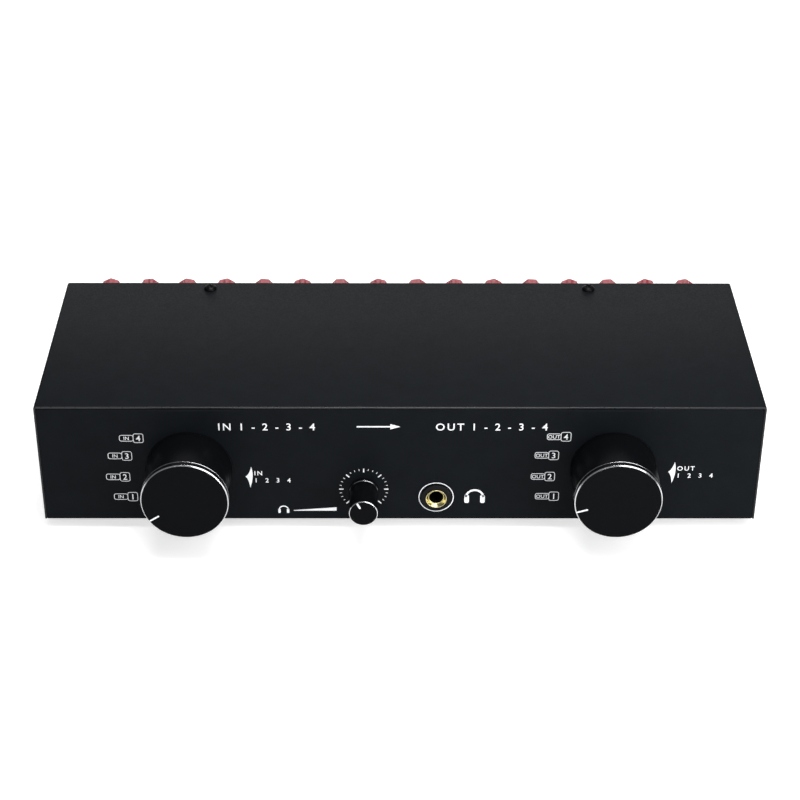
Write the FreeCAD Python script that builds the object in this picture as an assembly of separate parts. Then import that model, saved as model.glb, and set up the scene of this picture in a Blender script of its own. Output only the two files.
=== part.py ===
import FreeCAD, Part
import math
import os

os.makedirs("parts", exist_ok=True)

# Speaker selector switch, in millimetres.
# The origin is on the surface under the feet, below the middle of the case.
# +X is to the right seen from the front, +Y runs from the front panel to the rear panel, +Z is up.

# Case
CASE_WIDTH = 325.0
CASE_DEPTH = 113.5
CASE_HEIGHT = 61.0
SHEET = 1.0
INNER_BEND = 0.3
TOP_FLANGE = 13.0
SIDE_FLANGE = 12.0
FLANGE_RELIEF = 3.0
CORNER_RELIEF = 0.6
COVER_GAP = 0.15
REACH = 26.8

# Rubber feet: square, tapered and stuck on
FOOT_HEIGHT = 4.5
FOOT_SIDE = 12.7
FOOT_BASE_SIDE = 10.9
FOOT_INSET_X = 22.0
FOOT_INSET_Y = 20.0

# Cover fastening: two screws at the rear edge and two hooks at the front edge
SCREW_X = 92.1
SCREW_INSET = 6.1
SCREW_R = 1.45
SCREW_LENGTH = 6.0
SCREW_HEAD_R = 3.1
SCREW_HEAD_HEIGHT = 1.9
SCREW_HOLE_PLAY = 0.2
HOOK_WIDTH = 14.0
HOOK_LIP = 7.0
HOOK_FOOT = 5.0
HOOK_PLAY = 0.2

# Selector knobs and their rotary switches
INPUT_X = -94.9
OUTPUT_X = 95.9
SELECTOR_Z = 28.7
SELECTOR_KNOB_R = 19.4
KNOB_GAP = 1.0
KNOB_CHAMFER = 0.5
SELECTOR_RECESS_R = 9.0
SELECTOR_RECESS = 5.0
SELECTOR_BORE_END = 20.0
SHAFT_R = 3.0
SHAFT_FLAT = 1.6
FLAT_START = 5.7
SHAFT_PLAY = 0.05
SEAT_PLAY = 0.03
SWITCH_BUSH_R = 4.5
SWITCH_BUSH = 5.5
SWITCH_BODY_FLATS = 30.0
SWITCH_BODY_LENGTH = 26.0
SWITCH_LUGS = 10
SWITCH_LUG_CIRCLE = 11.0
SWITCH_LUG_WIDTH = 2.0
SWITCH_LUG_THICKNESS = 0.6
SWITCH_LUG_LENGTH = 5.0
SHAFT_DEPTH = 18.0
PANEL_HOLE_PLAY = 0.15
SWITCH_NUT_FLATS = 12.0
NUT_THICKNESS = 2.2

# Headphone volume knob and its potentiometer
VOLUME_X = -16.5
VOLUME_Z = 17.0
VOLUME_KNOB_R = 6.45
VOLUME_KNOB_REACH = 19.2
VOLUME_KNOB_GAP = 1.2
VOLUME_CHAMFER = 0.4
VOLUME_BORE_END = 14.0
POT_BOSS_R = 3.5
POT_BODY_WIDTH = 11.0
POT_BODY_LENGTH = 9.0
POT_BODY_RISE = 5.5
POT_SHAFT_DEPTH = 6.0

# Headphone jack for a 6.35 mm plug
JACK_X = 16.4
JACK_Z = 12.6
JACK_BORE_R = 3.25
JACK_BUSH_R = 4.8
JACK_PROUD = 1.7
JACK_LEAD_IN = 1.2
JACK_BUSH_TAIL = 8.0
JACK_CAVITY_SIDE = 9.0
JACK_BODY_WIDTH = 16.0
JACK_BODY_LENGTH = 30.0
JACK_BACK_WALL = 1.5
JACK_NUT_R = 7.0
JACK_NUT_THICKNESS = 1.2

# Circuit board that carries the jack and the potentiometer
BOARD_LEFT = -29.0
BOARD_RIGHT = 29.0
BOARD_DEPTH = 32.0
BOARD_THICKNESS = 1.6
BOARD_CLEAR = 2.4

# Binding posts: one upper row with red caps and one lower row with black caps
POST_COLUMNS = 16
POST_PITCH = 19.25
POST_MIDDLE = -0.6
UPPER_ROW_Z = 43.5
ROW_PITCH = 19.05
COLLAR_FLATS = 11.0
COLLAR_LENGTH = 6.4
NECK_SIDE = 7.2
NECK_PLAY = 0.1
STEM_R = 3.0
STEM_RECESS = 0.8
SOCKET_R = 2.05
SOCKET_DEPTH = 19.2
CAP_FLATS = 10.4
CAP_GAP = 0.3
CAP_TURN_STEP = 19.0
POST_NUT_FLATS = 10.4
POST_NUT_LENGTH = 5.0

# Derived places
FRONT = -CASE_DEPTH / 2
REAR = CASE_DEPTH / 2
BOTTOM = FOOT_HEIGHT
TOP = FOOT_HEIGHT + CASE_HEIGHT
UNDER_COVER = TOP - SHEET
CHASSIS_HALF = CASE_WIDTH / 2 - SHEET - COVER_GAP
KNOB_FACE = FRONT - REACH
CAP_END = REAR + REACH
BOARD_BASE = BOTTOM + SHEET + BOARD_CLEAR
BOARD_TOP = BOARD_BASE + BOARD_THICKNESS

Vector = FreeCAD.Vector
ALONG_Y = Vector(0, 1, 0)
ALONG_Z = Vector(0, 0, 1)


def save(name, solids):
    """Write one piece, or a group of like pieces, to its own file."""
    shape = solids[0] if len(solids) == 1 else Part.Compound(solids)
    for solid in shape.Solids:
        if not solid.isValid():
            raise ValueError(name + " has a solid that isn't valid")
    shape.exportStep("parts/" + name + ".step")


def block(low, high):
    """A box between two opposite corners."""
    size = Vector(*high) - Vector(*low)
    return Part.makeBox(size.x, size.y, size.z, Vector(*low))


def rod(x, z, radius, start, end):
    """A cylinder along Y."""
    return Part.makeCylinder(radius, end - start, Vector(x, start, z), ALONG_Y)


def outline(points):
    """A closed flat face through corner points."""
    return Part.Face(Part.makePolygon(points + [points[0]]))


def prism(points, start, end):
    """A closed outline in XZ carried along Y."""
    face = outline([Vector(x, start, z) for x, z in points])
    return face.extrude(Vector(0, end - start, 0))


def regular(sides, across_flats, x, z, turned_by=0):
    """The corners of a regular polygon with a flat on top, then turned clockwise by an angle."""
    radius = across_flats / 2 / math.cos(math.pi / sides)
    turns = [2 * math.pi * (i + 0.5) / sides + math.radians(turned_by) for i in range(sides)]
    return [(x + radius * math.sin(a), z + radius * math.cos(a)) for a in turns]


def turned(profile, x, z):
    """A turned piece: (radius, y) points revolved about a line along Y."""
    face = outline([Vector(r, y, 0) for r, y in profile])
    solid = face.revolve(Vector(0, 0, 0), ALONG_Y, 360)
    solid.translate(Vector(x, 0, z))
    return solid


def rounded_path(points, radii):
    """Edges along an open path, with each inner corner rounded to its own radius."""
    edges = []
    start = points[0]
    for corner, after, radius in zip(points[1:-1], points[2:], radii):
        before = points[points.index(corner) - 1]
        back = (before - corner).normalize()
        ahead = (after - corner).normalize()
        first = corner + back * radius
        last = corner + ahead * radius
        centre = corner + (back + ahead) * radius
        middle = centre + (corner - centre).normalize() * radius
        edges.append(Part.makeLine(start, first))
        edges.append(Part.Arc(first, middle, last).toShape())
        start = last
    edges.append(Part.makeLine(start, points[-1]))
    return edges


def folded_sheet(outer, inner, sweep):
    """Sheet metal bent at right angles: its outside and inside paths, carried along a straight line."""
    bends = len(outer) - 2
    outside = rounded_path(outer, [INNER_BEND + SHEET] * bends)
    inside = rounded_path(inner, [INNER_BEND] * bends)
    ends = [Part.makeLine(outer[0], inner[0]), Part.makeLine(outer[-1], inner[-1])]
    wire = Part.Wire(Part.__sortEdges__(outside + inside + ends))
    return Part.Face(wire).extrude(sweep)


def flatted_shaft(x, z, radius, flat, start, end):
    """A round shaft with one flat, towards +Z."""
    whole = rod(x, z, radius, start, end)
    cut = block((x - 2 * radius, start - 1, z + flat), (x + 2 * radius, end + 1, z + 2 * radius))
    return whole.cut(cut)


def pierced_nut(x, z, flats, hole_r, start, end):
    """A hexagon nut round a threaded bush."""
    return prism(regular(6, flats, x, z), start, end).cut(rod(x, z, hole_r, start, end))


def post_columns():
    """The X place of each column of binding posts."""
    middle = (POST_COLUMNS - 1) / 2
    return [POST_MIDDLE + (i - middle) * POST_PITCH for i in range(POST_COLUMNS)]


def square(x, z, side):
    """The corners of an upright square."""
    half = side / 2
    return [(x - half, z - half), (x + half, z - half), (x + half, z + half), (x - half, z + half)]


# Chassis: front, bottom and rear are one folded sheet, with a flange at the top of front and rear
# and an upturned flange along each side.
def make_chassis():
    low = BOTTOM
    high = UNDER_COVER
    x = -CHASSIS_HALF
    outer = [
        Vector(x, FRONT + TOP_FLANGE, high),
        Vector(x, FRONT, high),
        Vector(x, FRONT, low),
        Vector(x, REAR, low),
        Vector(x, REAR, high),
        Vector(x, REAR - TOP_FLANGE, high),
    ]
    inner = [
        Vector(x, FRONT + TOP_FLANGE, high - SHEET),
        Vector(x, FRONT + SHEET, high - SHEET),
        Vector(x, FRONT + SHEET, low + SHEET),
        Vector(x, REAR - SHEET, low + SHEET),
        Vector(x, REAR - SHEET, high - SHEET),
        Vector(x, REAR - TOP_FLANGE, high - SHEET),
    ]
    sheet = folded_sheet(outer, inner, Vector(2 * CHASSIS_HALF, 0, 0))
    flanges = []
    for side in (-1, 1):
        edge = side * CHASSIS_HALF
        wall = edge - side * SHEET
        flanges.append(
            block(
                (min(edge, wall), FRONT + FLANGE_RELIEF, BOTTOM),
                (max(edge, wall), REAR - FLANGE_RELIEF, BOTTOM + SIDE_FLANGE),
            )
        )
    sheet = sheet.fuse(flanges)

    front_holes = [
        (INPUT_X, SELECTOR_Z, SWITCH_BUSH_R),
        (OUTPUT_X, SELECTOR_Z, SWITCH_BUSH_R),
        (VOLUME_X, VOLUME_Z, POT_BOSS_R),
        (JACK_X, JACK_Z, JACK_BUSH_R),
    ]
    cuts = []
    for hole_x, hole_z, radius in front_holes:
        cuts.append(rod(hole_x, BOTTOM + hole_z, radius + PANEL_HOLE_PLAY, FRONT - 1, FRONT + SHEET + 1))
    for post_x in post_columns():
        for row_z in (UPPER_ROW_Z, UPPER_ROW_Z - ROW_PITCH):
            window = square(post_x, BOTTOM + row_z, NECK_SIDE + 2 * NECK_PLAY)
            cuts.append(prism(window, REAR - SHEET - 1, REAR + 1))
    for side in (-1, 1):
        place = Vector(side * SCREW_X, REAR - SCREW_INSET, UNDER_COVER - SHEET - 1)
        cuts.append(Part.makeCylinder(SCREW_R, SHEET + 2, place, ALONG_Z))
    # The upper side corners stand clear of the cover's inner bend.
    for side in (-1, 1):
        edge = side * CHASSIS_HALF
        clear = edge - side * CORNER_RELIEF
        cuts.append(
            block(
                (min(edge, clear), FRONT - 1, UNDER_COVER - CORNER_RELIEF),
                (max(edge, clear), REAR + 1, UNDER_COVER + 1),
            )
        )
    return sheet.cut(cuts).removeSplitter().Solids[0]


# Cover: top and both sides are one folded sheet. Two hooks under its front edge
# slip below the chassis flange, and two screws hold its rear edge.
def make_cover():
    half = CASE_WIDTH / 2
    y = FRONT
    outer = [
        Vector(-half, y, BOTTOM),
        Vector(-half, y, TOP),
        Vector(half, y, TOP),
        Vector(half, y, BOTTOM),
    ]
    inner = [
        Vector(-half + SHEET, y, BOTTOM),
        Vector(-half + SHEET, y, UNDER_COVER),
        Vector(half - SHEET, y, UNDER_COVER),
        Vector(half - SHEET, y, BOTTOM),
    ]
    cover = folded_sheet(outer, inner, Vector(0, CASE_DEPTH, 0))
    hooks = []
    flange_end = FRONT + TOP_FLANGE
    lip_top = UNDER_COVER - SHEET - HOOK_PLAY
    for side in (-1, 1):
        left = side * SCREW_X - HOOK_WIDTH / 2
        right = left + HOOK_WIDTH
        hooks.append(
            block(
                (left, flange_end + HOOK_PLAY, lip_top - SHEET),
                (right, flange_end + HOOK_PLAY + HOOK_FOOT, UNDER_COVER),
            )
        )
        hooks.append(
            block(
                (left, flange_end - HOOK_LIP, lip_top - SHEET),
                (right, flange_end + HOOK_PLAY + HOOK_FOOT, lip_top),
            )
        )
    cover = cover.fuse(hooks)
    holes = []
    for side in (-1, 1):
        place = Vector(side * SCREW_X, REAR - SCREW_INSET, UNDER_COVER - 1)
        holes.append(Part.makeCylinder(SCREW_R + SCREW_HOLE_PLAY, SHEET + 2, place, ALONG_Z))
    return cover.cut(holes).removeSplitter().Solids[0]


def make_cover_screw(side):
    """A pan-head screw, standing on the cover."""
    neck = TOP
    profile = [
        Vector(0, 0, neck - SCREW_LENGTH),
        Vector(SCREW_R, 0, neck - SCREW_LENGTH),
        Vector(SCREW_R, 0, neck),
        Vector(SCREW_HEAD_R, 0, neck),
        Vector(SCREW_HEAD_R * 0.62, 0, neck + SCREW_HEAD_HEIGHT),
        Vector(0, 0, neck + SCREW_HEAD_HEIGHT),
    ]
    screw = outline(profile).revolve(Vector(0, 0, 0), ALONG_Z, 360)
    screw.translate(Vector(side * SCREW_X, REAR - SCREW_INSET, 0))
    return screw


def make_foot(side_x, side_y):
    """A tapered rubber foot stuck under a corner of the chassis."""
    x = side_x * (CASE_WIDTH / 2 - FOOT_INSET_X)
    y = side_y * (CASE_DEPTH / 2 - FOOT_INSET_Y)
    rings = []
    for side, z in ((FOOT_BASE_SIDE, 0), (FOOT_SIDE, FOOT_HEIGHT)):
        corners = [Vector(a, b, z) for a, b in square(x, y, side)]
        rings.append(Part.makePolygon(corners + [corners[0]]))
    return Part.makeLoft(rings, True, True)


# Knobs are turned from solid bar: a bright chamfer round the face and a blind bore with a flat
# for the shaft. A selector knob is also recessed behind, round its switch's nut.
def make_knob(x, z, radius, face, gap, chamfer, bore_end):
    back = FRONT - gap
    profile = [(0, face), (radius - chamfer, face), (radius, face + chamfer), (radius, back), (0, back)]
    bore = flatted_shaft(x, z, SHAFT_R + SEAT_PLAY, SHAFT_FLAT + SEAT_PLAY, FRONT - bore_end, FRONT)
    return turned(profile, x, z).cut(bore)


def make_shaft(x, z, tip, flat_start, depth):
    """A switch shaft: round in its bush, flatted where the knob sits."""
    seat = flatted_shaft(x, z, SHAFT_R, SHAFT_FLAT, FRONT - tip, FRONT - flat_start)
    journal = rod(x, z, SHAFT_R, FRONT - flat_start, FRONT + depth)
    return seat.fuse(journal).removeSplitter().Solids[0]


def make_switch_housing(x, z):
    """An enclosed rotary switch: threaded bush, eight-sided body and a ring of solder lugs."""
    back_of_panel = FRONT + SHEET
    rear = back_of_panel + SWITCH_BODY_LENGTH
    body = prism(regular(8, SWITCH_BODY_FLATS, x, z), back_of_panel, rear)
    bush = rod(x, z, SWITCH_BUSH_R, FRONT - SWITCH_BUSH, back_of_panel)
    lugs = []
    for i in range(SWITCH_LUGS):
        lug = block(
            (-SWITCH_LUG_WIDTH / 2, rear, SWITCH_LUG_CIRCLE),
            (SWITCH_LUG_WIDTH / 2, rear + SWITCH_LUG_LENGTH, SWITCH_LUG_CIRCLE + SWITCH_LUG_THICKNESS),
        )
        lug.rotate(Vector(0, 0, 0), ALONG_Y, 360 * i / SWITCH_LUGS)
        lug.translate(Vector(x, 0, z))
        lugs.append(lug)
    bore = rod(x, z, SHAFT_R + SHAFT_PLAY, FRONT - SWITCH_BUSH - 1, FRONT + SHAFT_DEPTH + SHAFT_PLAY)
    return body.fuse([bush] + lugs).cut(bore).removeSplitter().Solids[0]


def make_pot_body(x, z):
    """A potentiometer that stands on the board, with a plain boss in the front panel's hole."""
    back_of_panel = FRONT + SHEET
    half = POT_BODY_WIDTH / 2
    rear = back_of_panel + POT_BODY_LENGTH
    case = block((x - half, back_of_panel, BOARD_TOP), (x + half, rear, z + POT_BODY_RISE))
    boss = rod(x, z, POT_BOSS_R, FRONT, back_of_panel)
    bore = rod(x, z, SHAFT_R + SHAFT_PLAY, FRONT - 1, FRONT + POT_SHAFT_DEPTH + SHAFT_PLAY)
    return case.fuse(boss).cut(bore).removeSplitter().Solids[0]


def make_jack_bush(x, z):
    """The jack's plated bush, with a funnel at its mouth."""
    mouth = FRONT - JACK_PROUD
    tail = FRONT + JACK_BUSH_TAIL
    return turned(
        [
            (JACK_BORE_R + JACK_LEAD_IN, mouth),
            (JACK_BUSH_R, mouth),
            (JACK_BUSH_R, tail),
            (JACK_BORE_R, tail),
            (JACK_BORE_R, mouth + JACK_LEAD_IN),
        ],
        x,
        z,
    )


def make_jack_body(x, z):
    """The jack's moulded body, which stands on the board."""
    front = FRONT + SHEET
    rear = front + JACK_BODY_LENGTH
    half = JACK_BODY_WIDTH / 2
    body = block((x - half, front, BOARD_TOP), (x + half, rear, z + half))
    seat = rod(x, z, JACK_BUSH_R, front - 1, FRONT + JACK_BUSH_TAIL)
    cavity = prism(square(x, z, JACK_CAVITY_SIDE), FRONT + JACK_BUSH_TAIL, rear - JACK_BACK_WALL)
    return body.cut([seat, cavity])


def make_collar(x, z):
    """A binding post's moulded collar, with a square neck that keys it in the rear panel."""
    flange = prism(regular(8, COLLAR_FLATS, x, z), REAR, REAR + COLLAR_LENGTH)
    neck = prism(square(x, z, NECK_SIDE), REAR - SHEET, REAR)
    hole = prism(regular(8, 2 * (STEM_R + SEAT_PLAY), x, z), REAR - SHEET - 1, REAR + COLLAR_LENGTH + 1)
    return flange.fuse(neck).cut(hole).removeSplitter().Solids[0]


def make_stem(x, z):
    """A binding post's metal stem, bored at its end for a 4 mm plug.
    Its thread is drawn as an eight-sided envelope."""
    mouth = CAP_END - STEM_RECESS
    thread = prism(regular(8, 2 * STEM_R, x, z), REAR - SHEET, mouth)
    return thread.cut(rod(x, z, SOCKET_R, mouth - SOCKET_DEPTH, mouth + 1))


def make_cap(x, z, turned_by):
    """A binding post's screw cap: eight wide flats for the fingers, open at both ends.
    Its threaded bore has running clearance round the stem's thread."""
    start = REAR + COLLAR_LENGTH + CAP_GAP
    grip = prism(regular(8, CAP_FLATS, x, z, turned_by), start, CAP_END)
    bore = prism(regular(8, 2 * (STEM_R + SHAFT_PLAY), x, z), start - 1, CAP_END + 1)
    return grip.cut(bore)


def make_post_nut(x, z):
    """A closed hexagon nut that holds a post from inside."""
    inside = REAR - SHEET
    return prism(regular(6, POST_NUT_FLATS, x, z), inside - POST_NUT_LENGTH, inside)


selector_z = BOTTOM + SELECTOR_Z
volume_z = BOTTOM + VOLUME_Z
jack_z = BOTTOM + JACK_Z

# Case
save("chassis", [make_chassis()])
save("top_cover", [make_cover()])
save("cover_screws", [make_cover_screw(side) for side in (-1, 1)])
save("rubber_feet", [make_foot(i, j) for i in (-1, 1) for j in (-1, 1)])

# Selector switches
for name, x in (("input", INPUT_X), ("output", OUTPUT_X)):
    knob = make_knob(
        x,
        selector_z,
        SELECTOR_KNOB_R,
        KNOB_FACE,
        KNOB_GAP,
        KNOB_CHAMFER,
        SELECTOR_BORE_END,
    )
    recess = rod(x, selector_z, SELECTOR_RECESS_R, FRONT - KNOB_GAP - SELECTOR_RECESS, FRONT)
    save(name + "_knob", [knob.cut(recess)])
    shaft = make_shaft(x, selector_z, SELECTOR_BORE_END - SEAT_PLAY, FLAT_START, SHAFT_DEPTH)
    save(name + "_switch_shaft", [shaft])
    save(name + "_switch_housing", [make_switch_housing(x, selector_z)])

# Headphone volume control
volume_knob = make_knob(
    VOLUME_X,
    volume_z,
    VOLUME_KNOB_R,
    FRONT - VOLUME_KNOB_REACH,
    VOLUME_KNOB_GAP,
    VOLUME_CHAMFER,
    VOLUME_BORE_END,
)
save("volume_knob", [volume_knob])
volume_tip = VOLUME_BORE_END - SEAT_PLAY
save("volume_pot_shaft", [make_shaft(VOLUME_X, volume_z, volume_tip, VOLUME_KNOB_GAP, POT_SHAFT_DEPTH)])
save("volume_pot_body", [make_pot_body(VOLUME_X, volume_z)])

# Nuts on the switches' threaded bushes, hidden in the knobs' recesses
nuts = []
for x in (INPUT_X, OUTPUT_X):
    nuts.append(
        pierced_nut(x, selector_z, SWITCH_NUT_FLATS, SWITCH_BUSH_R + SEAT_PLAY, FRONT - NUT_THICKNESS, FRONT)
    )
save("switch_nuts", nuts)

# Headphone jack
save("headphone_jack_bush", [make_jack_bush(JACK_X, jack_z)])
save("headphone_jack_body", [make_jack_body(JACK_X, jack_z)])
jack_nut = rod(JACK_X, jack_z, JACK_NUT_R, FRONT - JACK_NUT_THICKNESS, FRONT)
jack_nut = jack_nut.cut(rod(JACK_X, jack_z, JACK_BUSH_R, FRONT - JACK_NUT_THICKNESS, FRONT))
save("headphone_jack_nut", [jack_nut])
board_front = FRONT + SHEET + 1
board = block((BOARD_LEFT, board_front, BOARD_BASE), (BOARD_RIGHT, board_front + BOARD_DEPTH, BOARD_TOP))
save("headphone_board", [board])

# Binding posts
post_nuts = []
for colour, row_z in (("red", BOTTOM + UPPER_ROW_Z), ("black", BOTTOM + UPPER_ROW_Z - ROW_PITCH)):
    save(colour + "_post_collars", [make_collar(x, row_z) for x in post_columns()])
    save(colour + "_post_stems", [make_stem(x, row_z) for x in post_columns()])
    post_nuts += [make_post_nut(x, row_z) for x in post_columns()]
    for number, x in enumerate(post_columns(), start=1):
        # Each cap is screwed down by hand, so its flats stop at another angle.
        hand_turn = number * CAP_TURN_STEP
        save("%s_cap_%02d" % (colour, number), [make_cap(x, row_z, hand_turn)])
save("post_nuts", post_nuts)
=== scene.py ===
import math

import bpy
import numpy as np
from mathutils import Matrix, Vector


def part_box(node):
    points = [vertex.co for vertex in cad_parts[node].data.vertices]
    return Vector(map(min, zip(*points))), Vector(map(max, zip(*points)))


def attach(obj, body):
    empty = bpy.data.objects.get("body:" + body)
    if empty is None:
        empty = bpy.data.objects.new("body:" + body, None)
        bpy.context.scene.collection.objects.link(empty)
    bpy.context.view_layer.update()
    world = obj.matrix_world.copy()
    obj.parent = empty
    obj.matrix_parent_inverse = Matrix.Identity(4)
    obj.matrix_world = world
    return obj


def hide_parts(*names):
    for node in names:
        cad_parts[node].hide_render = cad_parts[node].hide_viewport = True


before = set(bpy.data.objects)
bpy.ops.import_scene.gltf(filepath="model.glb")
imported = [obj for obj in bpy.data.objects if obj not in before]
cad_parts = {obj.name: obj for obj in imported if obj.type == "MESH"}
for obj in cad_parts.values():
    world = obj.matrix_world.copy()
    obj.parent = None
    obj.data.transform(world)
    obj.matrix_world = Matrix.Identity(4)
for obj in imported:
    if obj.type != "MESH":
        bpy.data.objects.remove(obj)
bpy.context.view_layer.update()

bl_info = {
    "name": "Speaker selector switch",
    "version": (1, 0, 0),
    "blender": (4, 5, 0),
    "location": "View3D > Sidebar > Selector",
    "description": "Dresses the packed model of a speaker selector switch with its finishes and details",
    "category": "Object",
}

MM = 0.001
CASE_LOW, CASE_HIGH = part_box("top_cover")
COLLAR_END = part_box("red_post_collars")[1].y
POST_COUNT = 16
CAP_TURN = 19.0
SHAFT_BORE = 3.03 * MM

# The cover: its sides end above the bottom, and two hooks under its front edge hold it.
COVER_CLEARANCE = 0.5 * MM
HOOK_MIDDLE = 92.1 * MM
HOOK_WIDTH = 14.0 * MM
HOOK_SETBACK = 13.2 * MM
HOOK_REACH = 7.2 * MM
HOOK_GAP = 0.2 * MM
HOOK_EDGE = 0.1 * MM

FOOT_SIDE = 12.7 * MM
FOOT_CORNER = 1.8 * MM

# The turned groove of a knob is a V as deep as half its width. BURR is the trim of its corners.
GROOVE_DEPTH = 0.14 * MM
BURR = 0.02 * MM

# Noise mostly lies between these two values, and a finish spreads them over its whole range.
NOISE_LOW, NOISE_HIGH = 0.3, 0.7


def length(name, description, millimetres):
    """A size that the user can change, given in millimetres and kept in metres."""
    return bpy.props.FloatProperty(
        name=name, description=description, default=millimetres * MM, min=0.0, precision=5, unit="LENGTH"
    )


def linear(code):
    """An sRGB hex colour as linear light: a channel c is c / 12.92 near black,
    else ((c + 0.055) / 1.055) ^ 2.4."""
    value = np.array([int(code[i : i + 2], 16) for i in (1, 3, 5)]) / 255
    return tuple(np.where(value <= 0.04045, value / 12.92, ((value + 0.055) / 1.055) ** 2.4))


def colour(name, description, code):
    """A colour that the user can change."""
    return bpy.props.FloatVectorProperty(
        name=name, description=description, default=linear(code), size=3, min=0.0, max=1.0, subtype="COLOR"
    )


class SelectorSizes(bpy.types.PropertyGroup):
    sheet: length("Sheet", "Thickness of the steel sheet", 1.0)
    inner_bend: length("Inner bend", "Inner radius of the sheet's bends", 0.3)
    sheared_edge: length("Sheared edge", "Rounding that the paint leaves on a sheared edge", 0.45)
    knob_chamfer: length("Knob chamfer", "Width of the bright chamfer round a selector knob's face", 0.45)
    small_chamfer: length("Small chamfer", "Width of the bright chamfer round the volume knob's face", 0.34)
    knob_groove: length("Knob groove", "Distance of the turned groove behind a selector knob's face", 3.0)
    pointer: length("Pointer", "Length of a selector knob's painted pointer", 5.2)
    pointer_width: length("Pointer width", "Width of a selector knob's painted pointer", 0.75)
    ink: length("Ink", "Thickness of the printed ink", 0.03)
    line: length("Line", "Width of the badges' printed outlines", 0.26)
    thread_pitch: length("Thread pitch", "Pitch of the binding posts' thread", 1.0)
    jack_funnel: length("Jack funnel", "Depth of the funnel at the jack's mouth", 1.6)
    flute: length("Flute", "Depth of the flutes in a post's cap", 0.45)


class SelectorColours(bpy.types.PropertyGroup):
    powder_coat: colour("Powder coat", "Black polyester powder coat of the case", "#101316")
    anodised: colour("Anodised", "Black anodised aluminium of the knobs", "#090A0C")
    bright_cut: colour("Bright cut", "Bare aluminium where the chamfer is cut after anodising", "#E4E6E8")
    ink: colour("Ink", "White screen-printing ink", "#F2F4F7")
    gold: colour("Gold", "Thin gold plate on the jack's bush and the posts' stems", "#D8CE9C")
    red_plastic: colour("Red plastic", "Tinted polycarbonate of the red posts", "#932B37")
    black_plastic: colour("Black plastic", "Plastic of the black posts and the nuts", "#0B0B0D")
    black_screw: colour("Black screw", "Black oxide on the cover screws", "#050506")
    rubber: colour("Rubber", "Black rubber feet", "#18181A")
    plated: colour("Plated", "Nickel plate on the shafts and the switches' nuts", "#C9C6BE")
    switch_plastic: colour("Switch plastic", "Phenolic of the switches and the jack", "#26221F")
    board: colour("Board", "Solder mask on the circuit board", "#1F5A3A")


def angle(name, description, degrees):
    """An angle that the user can change."""
    radians = math.radians(degrees)
    return bpy.props.FloatProperty(name=name, description=description, default=radians, subtype="ANGLE")


class SelectorStage(bpy.types.PropertyGroup):
    camera_place: bpy.props.FloatVectorProperty(
        name="Camera place",
        description="Where the camera stands",
        default=(-0.0057, -0.8006, 0.5411),
        subtype="XYZ",
    )
    camera_yaw: angle("Camera yaw", "Turn of the camera to the right", 0.42)
    camera_pitch: angle("Camera pitch", "How far the camera looks down", 32.38)
    camera_roll: angle("Camera roll", "Roll of the camera", 0.26)
    focal_length: bpy.props.FloatProperty(
        name="Focal length", description="Lens on a 36 mm wide sensor, in millimetres", default=89.87
    )
    floor: colour("Floor", "Pale paper of the floor and backdrop", "#E2E2E2")


# Shapes. A skin is a pair: its points, and blocks of faces, each with a finish number per face.


def skin(points, *blocks):
    """A closed skin. Its volume is the sum over faces of (a . b x c) / 6 for their triangles;
    where that is negative the faces wind inwards, so they are all turned round."""
    points = np.reshape(np.asarray(points, float), (-1, 3))
    about = points - points.mean(0)
    volume = 0.0
    for faces, _ in blocks:
        fans = np.cross(about[faces[:, 1:-1]], about[faces[:, 2:]])
        volume += np.einsum("ij,ikj->", about[faces[:, 0]], fans)
    step = -1 if volume < 0 else 1
    return points, [(faces[:, ::step], np.broadcast_to(finish, len(faces))) for faces, finish in blocks]


def tube(grid, finish=0, ring=False):
    """Quads over a rows x columns grid of points whose columns run round and join up.
    A flat face closes the first and the last row, or in a ring the last row joins the first.
    The finish is one number, one per column of quads, or a column with one per row of quads."""
    rows, columns = grid.shape[:2]
    number = np.arange(rows * columns).reshape(rows, columns)
    low = number if ring else number[:-1]
    high = np.roll(number, -1, 0) if ring else number[1:]
    quads = np.stack([low, np.roll(low, -1, 1), np.roll(high, -1, 1), high], -1).reshape(-1, 4)
    marks = np.broadcast_to(finish, low.shape).ravel()
    if ring:
        return skin(grid, (quads, marks))
    return skin(grid, (quads, marks), (number[:1, ::-1], 0), (number[-1:], 0))


def open_quads(rows, columns):
    """The numbers of a rows x columns grid of points, and the quads between them."""
    number = np.arange(rows * columns).reshape(rows, columns)
    corners = [number[:-1, :-1], number[:-1, 1:], number[1:, 1:], number[1:, :-1]]
    return number, np.stack(corners, -1).reshape(-1, 4)


def softened(corners, trims, steps=4, closed=True):
    """A line through corners, each cut back by its trim on both sides and bridged by an arc:
    ((1-s)^2 S + 2 w s (1-s) P + s^2 E) / ((1-s)^2 + 2 w s (1-s) + s^2), w the sine of half the corner."""
    corners = np.asarray(corners, float)
    trims = np.broadcast_to(trims, len(corners)).astype(float).copy()
    if not closed:
        trims[[0, -1]] = 0
    back = np.roll(corners, 1, 0) - corners
    ahead = np.roll(corners, -1, 0) - corners
    back /= np.linalg.norm(back, axis=1, keepdims=True)
    ahead /= np.linalg.norm(ahead, axis=1, keepdims=True)
    weight = np.sqrt(np.clip((1 - (back * ahead).sum(1)) / 2, 0, 1))[:, None, None]
    start = (corners + back * trims[:, None])[:, None]
    end = (corners + ahead * trims[:, None])[:, None]
    s = np.linspace(0, 1, steps + 1)[None, :, None]
    pull = 2 * weight * s * (1 - s)
    line = ((1 - s) ** 2 * start + pull * corners[:, None] + s**2 * end) / ((1 - s) ** 2 + pull + s**2)
    line = line.reshape(-1, corners.shape[1])
    gap = np.linalg.norm(line - np.roll(line, 1, 0), axis=1)
    keep = gap > 1e-8
    if not closed:
        keep[0] = True
    return line[keep]


def circle(count):
    """Even angles round a circle."""
    return np.linspace(0, 2 * np.pi, count, endpoint=False)


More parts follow.
